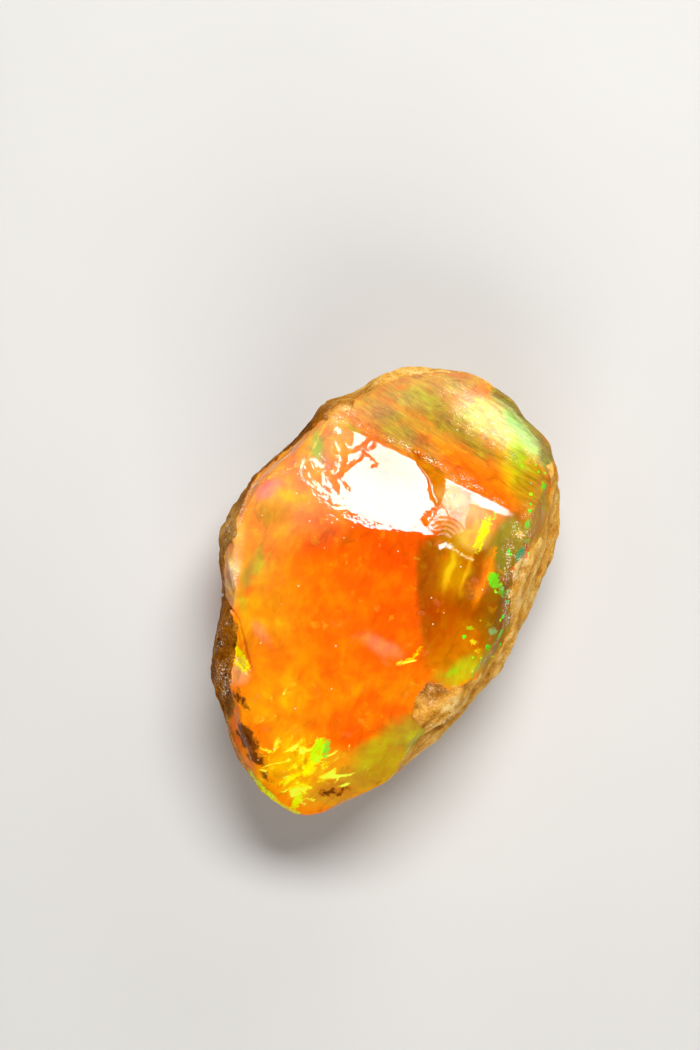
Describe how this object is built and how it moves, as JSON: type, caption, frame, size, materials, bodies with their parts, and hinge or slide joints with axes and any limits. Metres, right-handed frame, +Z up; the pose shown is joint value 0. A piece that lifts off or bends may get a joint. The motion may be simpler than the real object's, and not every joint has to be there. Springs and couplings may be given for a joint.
{
  "type": "rough ethiopian opal",
  "caption": "Rough precious opal nodule, egg-shaped, with a glassy orange broken face over a thin sandy rind, lying on its flat underside as a display stone.",
  "frame": {"origin": "centre of the bounding box on the plane that the stone rests on", "axes": "+Z up, away from the flat underside; +Y along the stone's length, towards its broad end; +X to the right of it seen from above"},
  "size_m": [0.0436, 0.056, 0.0261],
  "materials": {
    "opal_body": "glassy wet-looking orange opal, satin on one broken face, with a sandy tan rind"
  },
  "bodies": {
    "root": {"opal": "opal_body"}
  },
  "joints": []
}
